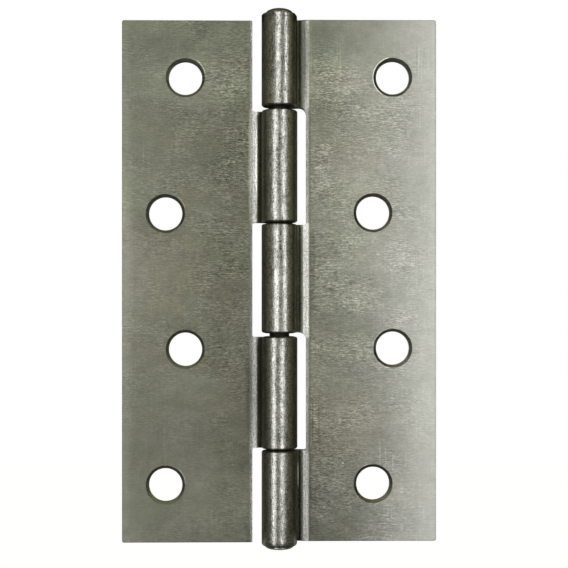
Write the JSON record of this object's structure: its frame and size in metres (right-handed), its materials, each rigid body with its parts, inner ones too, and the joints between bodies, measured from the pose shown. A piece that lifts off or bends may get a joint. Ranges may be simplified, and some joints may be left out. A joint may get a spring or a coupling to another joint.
{
  "type": "butt hinge",
  "caption": "Bare steel butt hinge, open flat, with rolled knuckles on a fixed pin, leaves set back by a reverse bend, and staggered sunk screw holes.",
  "frame": {"origin": "on the pin axis, half way up the leaves", "axes": "+Z along the pin, upwards; +X out along the three-knuckle leaf; +Y out of the flat backs, away from the side where the barrel and the sunk hole edges are"},
  "size_m": [0.0602, 0.0068, 0.1033],
  "materials": {
    "leaf_steel": "bare rolled steel with a film of oil, fine cross-wise brush marks",
    "pin_steel": "bare drawn wire, ends peened"
  },
  "bodies": {
    "fixed_leaf": {"three_knuckle_leaf": "leaf_steel", "hinge_pin": "pin_steel"},
    "swing_leaf": {"two_knuckle_leaf": "leaf_steel"}
  },
  "joints": [
    {"name": "leaf_swing", "type": "hinge", "parent": "fixed_leaf", "child": "swing_leaf", "pos_m": [0, 0, 0], "axis": [0, 0, 1], "range_deg": [-130, 182]}
  ]
}
